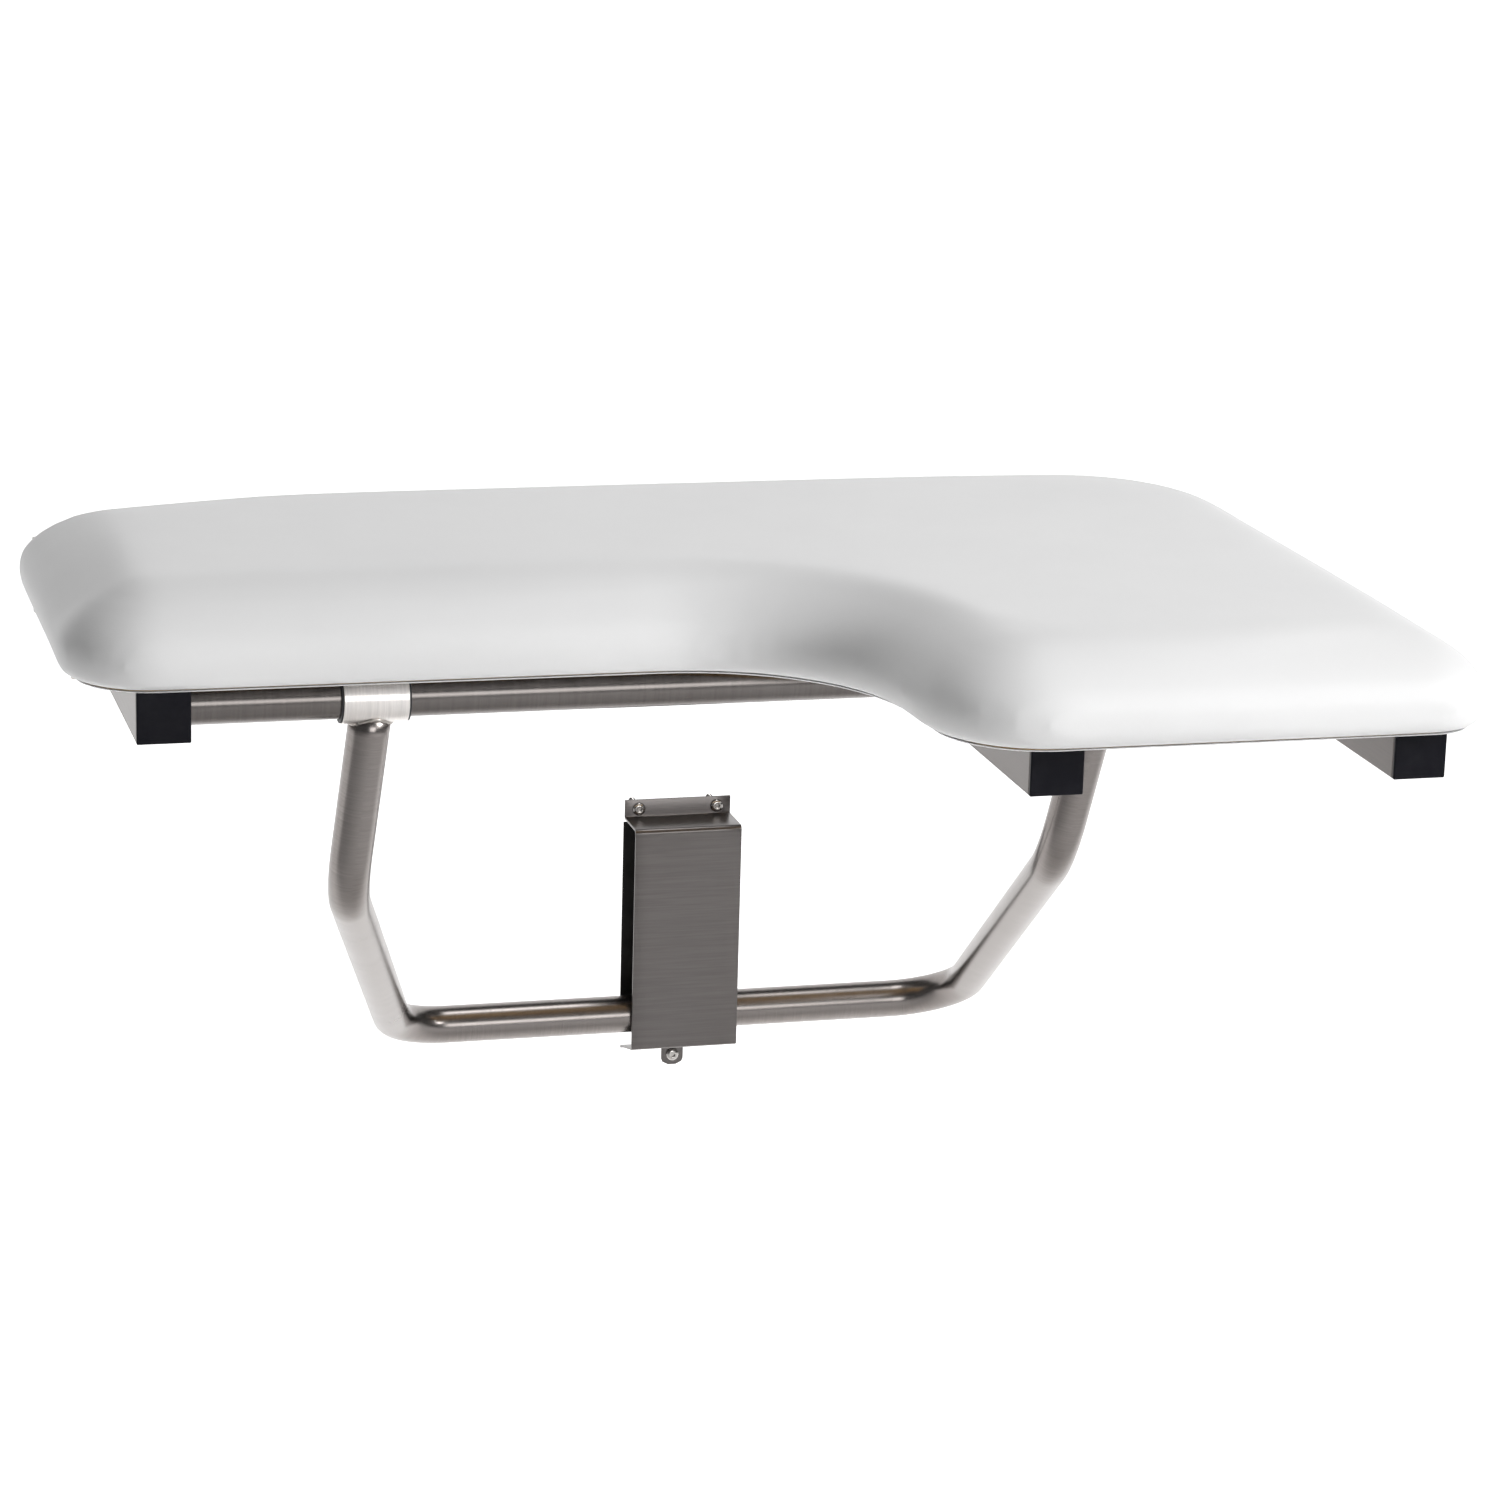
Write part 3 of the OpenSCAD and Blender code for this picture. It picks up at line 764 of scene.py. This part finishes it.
def tube_end_beads():
    """Beads where the cross tube meets the rails' side walls."""
    left, centre, right = RAIL_XS
    parts = []
    for rail_x, sign in ((left, 1), (centre, -1), (centre, 1), (right, -1)):
        x = rail_x + sign * RAIL_W / 2 + sign * 0.5 * MM
        r = TUBE_R + 0.4 * MM
        turns = [2 * math.pi * k / BEAD_POINTS for k in range(BEAD_POINTS)]
        ring = [Vector((x, TUBE_Y + math.cos(t) * r, TUBE_Z + math.sin(t) * r)) for t in turns]
        parts.append(bead_ring(ring, 1.1 * MM))
    return join_parts("cross_tube_welds", parts)


def sleeve_beads():
    """Beads where each leg meets its sleeve: the curve where the two tubes cross."""
    parts = []
    sleeve_r = span("left_sleeve").z / 2
    for top, knee in ((LEG_CORNERS[0][0], LEG_CORNERS[1][0]), (LEG_CORNERS[5][0], LEG_CORNERS[4][0])):
        down = (knee - top).normalized()
        side = (Vector((1, 0, 0)) - down * down.x).normalized()
        other = down.cross(side)
        ring = []
        for k in range(BEAD_POINTS):
            t = 2 * math.pi * k / BEAD_POINTS
            out = (side * math.cos(t) + other * math.sin(t)) * (TUBE_R + 0.3 * MM)
            base = top + out
            # distance along the leg at which this line leaves the sleeve's surface
            py, pz = base.y - TUBE_Y, base.z - TUBE_Z
            a = down.y ** 2 + down.z ** 2
            b = 2 * (py * down.y + pz * down.z)
            c = py * py + pz * pz - (sleeve_r + 0.2 * MM) ** 2
            root = (-b + math.sqrt(max(b * b - 4 * a * c, 0))) / (2 * a)
            ring.append(base + down * root)
        parts.append(bead_ring(ring, 1.0 * MM))
    return join_parts("sleeve_welds", parts)


tube_welds = tube_end_beads()
paint(bead_steel, tube_welds)
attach(tube_welds, "seat")
leg_welds = sleeve_beads()
paint(bead_steel, leg_welds)
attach(leg_welds, "leg")


# ---------------------------------------------------------------- guide sheet

GUIDE_LOW, GUIDE_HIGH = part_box("guide_cover")
GUIDE_X = (GUIDE_LOW.x + GUIDE_HIGH.x) / 2
GUIDE_HALF = (GUIDE_HIGH.x - GUIDE_LOW.x) / 2
SHEET = 1.5 * MM
# Middle of the sheet at the wall and at the front
WALL_Y, FRONT_Y = -SHEET / 2, GUIDE_LOW.y + SHEET / 2
# Down from the guide's top edge to its top plate, and to the lower bend of its front
FLANGE_DROP, FRONT_DROP = 12 * MM, 168 * MM
# Down from that bend to the end of the sloping return, and to the tab
RETURN_DROP, TAB_DROP = 8.4 * MM, 11.5 * MM
# The tab's half width, the slit on each side of it and the radius of its lower corners
TAB_HALF, TAB_SLIT, TAB_CORNER = 7.7 * MM, 1.2 * MM, 5 * MM
TAB_ROWS = 6
# Sheet columns as shares of the guide's and the tab's half widths
GUIDE_SHARES, TAB_SHARES = (0.45, 0.72, 1), (0.4, 1)
SECTION_STEP = 6 * MM


def rounded_path(corners, steps=7):
    """A YZ path through corners of (y, z, radius)."""
    points = []
    for k, (y, z, radius) in enumerate(corners):
        here = Vector((y, z))
        if radius == 0:
            points.append(here)
        else:
            before, after = Vector(corners[k - 1][:2]), Vector(corners[k + 1][:2])
            points += corner_points(before, here, after, radius, steps)
    return points


def guide_section():
    """The sheet's middle line from the flange's top to the tab's start."""
    top_z = GUIDE_HIGH.z - FLANGE_DROP - SHEET / 2
    front_z = GUIDE_HIGH.z - FRONT_DROP
    path = rounded_path([(WALL_Y, GUIDE_HIGH.z, 0),
                         (WALL_Y, top_z, 1.2 * MM),
                         (FRONT_Y, top_z, 2.6 * MM),
                         (FRONT_Y, front_z, 1.6 * MM),
                         (WALL_Y, front_z - RETURN_DROP, 1.6 * MM),
                         (WALL_Y, front_z - TAB_DROP, 0)])
    fine = []
    for a, b in zip(path, path[1:]):
        steps = max(1, int((b - a).length / SECTION_STEP))
        fine += [a.lerp(b, j / steps) for j in range(steps)]
    fine.append(path[-1])
    return fine


def make_guide():
    """The bent sheet: flange, top, front, sloping return and tab, as one surface given its thickness."""
    section = guide_section()
    halves = [GUIDE_HALF * share for share in GUIDE_SHARES]
    halves += [TAB_HALF * share for share in TAB_SHARES] + [TAB_HALF + TAB_SLIT]
    columns = sorted(side * half for half in halves for side in (-1, 1))
    width = len(columns)
    verts = [Vector((GUIDE_X + c, p.x, p.y)) for p in section for c in columns]
    faces = []
    for row in range(len(section) - 1):
        for c in range(width - 1):
            beside_tab = abs(columns[c] + columns[c + 1]) / 2 > TAB_HALF
            if row == len(section) - 2 and beside_tab:
                continue
            first = row * width + c
            faces.append((first, first + 1, first + width + 1, first + width))
    tab = [c for c in range(width) if abs(columns[c]) <= TAB_HALF + 1e-9]
    previous = [(len(section) - 1) * width + c for c in tab]
    start_z = section[-1].y
    for j in range(1, TAB_ROWS + 1):
        z = start_z - j / TAB_ROWS * (start_z - GUIDE_LOW.z)
        rise = min(z - GUIDE_LOW.z, TAB_CORNER)
        pull = TAB_CORNER - math.sqrt(max(TAB_CORNER ** 2 - (TAB_CORNER - rise) ** 2, 0))
        row = [len(verts) + k for k in range(len(tab))]
        verts += [Vector((GUIDE_X + columns[c] * (TAB_HALF - pull) / TAB_HALF, WALL_Y, z)) for c in tab]
        faces += [(previous[k], previous[k + 1], row[k + 1], row[k]) for k in range(len(tab) - 1)]
        previous = row
    guide = new_object("guide_sheet", verts, faces)
    solid = guide.modifiers.new("thickness", "SOLIDIFY")
    solid.thickness = SHEET
    solid.offset = 0
    bevel = guide.modifiers.new("bevel", "BEVEL")
    bevel.width = 0.3 * MM
    bevel.segments = 2
    bevel.limit_method = "ANGLE"
    bevel.angle_limit = math.radians(50)
    bake_modifiers(guide)
    shade_smooth(guide)
    return sharpen(guide, 40)


guide = make_guide()
paint(guide_steel, guide)
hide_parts("guide_cover")
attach(guide, "guide")


# ---------------------------------------------------------------- guide screws

SHANK_R, PITCH, TIP = 2.4 * MM, 1.4 * MM, 5 * MM
HEAD_H, WASHER_H, SOCKET_DEPTH = 2.5 * MM, 0.35 * MM, 1.5 * MM
# The dome's flat crown and the hexagon socket, as shares of the head's radius
CROWN_SHARE, SOCKET_SHARE = 0.46, 0.40
# Rings to each turn of the thread
THREAD_RINGS = 4


def head_profile(head_r):
    """Radius and height along a button head, from its washer face to the floor of its socket."""
    profile = [(head_r * 0.98, 0.0), (head_r, WASHER_H)]
    for k in range(1, 8):
        t = k / 8 * math.pi / 2
        radius = head_r * (CROWN_SHARE + (1 - CROWN_SHARE) * math.cos(t))
        profile.append((radius, WASHER_H + (HEAD_H - WASHER_H) * math.sin(t)))
    socket = head_r * SOCKET_SHARE
    return profile + [(socket * 1.12, HEAD_H), (socket, HEAD_H - 0.15 * MM), (socket, HEAD_H - SOCKET_DEPTH)]


def thread_profile(length):
    """Radius and distance along a threaded shank that narrows at its tip."""
    profile = []
    for k in range(int(length / PITCH * THREAD_RINGS) + 1):
        along = k * PITCH / THREAD_RINGS
        depth = SHANK_R * (0.90 + 0.10 * math.cos(2 * math.pi * k / THREAD_RINGS))
        tip = min(1.0, max(0.18, (length - along) / TIP))
        profile.append((depth * tip, along))
    return profile


def make_screws(name, centres, head_r, reach):
    """Button-head socket screws whose threads reach behind the wall face."""
    parts = []
    head = head_profile(head_r)
    hexagons = {len(head) - 2, len(head) - 1}
    for centre in centres:
        face = Vector((centre.x, -SHEET, centre.z))
        parts.append(ring_skin(lathe(head, face, (0, -1, 0), (1, 0, 0), 48, hexagons)))
        parts.append(ring_skin(lathe(thread_profile(reach + SHEET), face, (0, 1, 0), (1, 0, 0), 24)))
    return sharpen(join_parts(name, parts), 35)


def screw_centres(node, count):
    """Middles of a node's screw heads, one or two side by side, and their radius."""
    low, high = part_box(node)
    z = (low.z + high.z) / 2
    r = (high.z - low.z) / 2
    xs = [low.x + r, high.x - r] if count == 2 else [(low.x + high.x) / 2]
    return [Vector((x, 0, z)) for x in xs], r


for node, piece, count in (("guide_top_screws", "guide_flange_screws", 2),
                           ("guide_tab_screw", "guide_tab_fixing", 1)):
    centres, head_r = screw_centres(node, count)
    screws = make_screws(piece, centres, head_r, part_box(node)[1].y)
    paint(screw_steel, screws)
    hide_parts(node)
    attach(screws, "guide")


# ---------------------------------------------------------------- floor, light and camera

# The floor's drop below the part, its front and back edges, the sweep's radius, its top and its half width
FLOOR_DROP, FLOOR_FRONT, FLOOR_BACK, SWEEP_R, SWEEP_TOP, FLOOR_HALF = 0.42, -9.0, 6.0, 2.5, 9.0, 14
SWEEP_STEPS = 12


def make_stage():
    """A pale floor that sweeps up into a backdrop."""
    floor_z = cad_low.z - FLOOR_DROP
    sweep = []
    for k in range(SWEEP_STEPS + 1):
        turn = k / SWEEP_STEPS * math.pi / 2
        sweep.append((FLOOR_BACK + SWEEP_R * math.sin(turn), floor_z + SWEEP_R * (1 - math.cos(turn))))
    profile = [(FLOOR_FRONT, floor_z), (0.0, floor_z)] + sweep + [(FLOOR_BACK + SWEEP_R, SWEEP_TOP)]
    verts = [Vector((x, y, z)) for y, z in profile for x in (-FLOOR_HALF, FLOOR_HALF)]
    faces = [(2 * k, 2 * k + 1, 2 * k + 3, 2 * k + 2) for k in range(len(profile) - 1)]
    stage = new_object("studio_floor", verts, faces)
    n = Nodes("pale_floor")
    tone = n.ramp(n.noise(n.coords, 0.6, 2, 0.5), [(0.3, (0.93, 0.93, 0.93)), (0.7, (0.95, 0.95, 0.95))])
    n.feed(n.shader.inputs["Base Color"], tone)
    n.shader.inputs["Roughness"].default_value = 0.9
    n.shader.inputs["Specular IOR Level"].default_value = 0.1
    # the sweep behind the wall plane glows, which stands in for a backdrop light
    split = n.add("ShaderNodeSeparateXYZ", Vector=n.coords)
    glow = n.add("ShaderNodeMapRange", Value=split.outputs["Y"])
    for socket, value in (("From Min", -0.45), ("From Max", 0.1), ("To Min", 0.0), ("To Max", 0.9)):
        glow.inputs[socket].default_value = value
    n.shader.inputs["Emission Color"].default_value = (1, 1, 1, 1)
    n.feed(n.shader.inputs["Emission Strength"], glow.outputs["Result"])
    paint(n.material, stage)


def area_light(name, place, aim, size, power):
    """A rectangular soft light at place, turned to shine at aim."""
    data = bpy.data.lights.new(name, "AREA")
    data.shape = "RECTANGLE"
    data.size, data.size_y = size
    data.energy = power
    light = bpy.data.objects.new(name, data)
    light.location = place
    light.rotation_mode = "QUATERNION"
    light.rotation_quaternion = (Vector(aim) - Vector(place)).to_track_quat("-Z", "Y")
    bpy.context.scene.collection.objects.link(light)


def make_light():
    """A world brightest just above its horizon, a soft key from the right, a front fill and a top light."""
    world = bpy.data.worlds.new("studio")
    world.use_nodes = True
    tree = world.node_tree
    background = tree.nodes["Background"]
    split = tree.nodes.new("ShaderNodeSeparateXYZ")
    tree.links.new(tree.nodes.new("ShaderNodeTexCoord").outputs["Generated"], split.inputs["Vector"])
    ramp = tree.nodes.new("ShaderNodeValToRGB")
    tree.links.new(split.outputs["Z"], ramp.inputs["Fac"])
    for index, (place, tone) in enumerate(((0.0, 0.30), (0.10, 0.55), (0.35, 0.30), (0.75, 0.24))):
        element = ramp.color_ramp.elements[index] if index < 2 else ramp.color_ramp.elements.new(place)
        element.position = place
        element.color = (tone, tone, tone, 1)
    tree.links.new(ramp.outputs["Color"], background.inputs["Color"])
    background.inputs["Strength"].default_value = 0.32
    bpy.context.scene.world = world
    target = (0.4, -0.3, 0.0)
    area_light("key", (2.4, -2.4, 1.5), target, (1.2, 1.2), 80)
    area_light("front_fill", (0.8, -3.6, 0.4), target, (1.6, 1.0), 22)
    area_light("top", (0.9, -0.2, 2.6), target, (1.2, 0.8), 17)


def make_camera():
    """A long lens to the left of the seat and a little above it, looking slightly down."""
    place = Vector((-0.3332, -2.889, 0.6702))
    yaw, pitch, roll = math.radians(15.2), math.radians(15.14), math.radians(1.57)
    ahead = Vector((math.sin(yaw) * math.cos(pitch), math.cos(yaw) * math.cos(pitch), -math.sin(pitch)))
    right = Vector((math.cos(yaw), -math.sin(yaw), 0))
    up = right.cross(ahead)
    level_right = right * math.cos(roll) + up * math.sin(roll)
    level_up = up * math.cos(roll) - right * math.sin(roll)
    data = bpy.data.cameras.new("camera")
    data.sensor_width = 36
    data.lens = 108.8
    data.shift_x = -0.0022
    camera = bpy.data.objects.new("camera", data)
    turn = Matrix((level_right, level_up, -ahead)).transposed()
    camera.matrix_world = Matrix.Translation(place) @ turn.to_4x4()
    bpy.context.scene.collection.objects.link(camera)
    bpy.context.scene.camera = camera


make_stage()
make_light()
make_camera()
bpy.context.scene.view_settings.view_transform = "Standard"
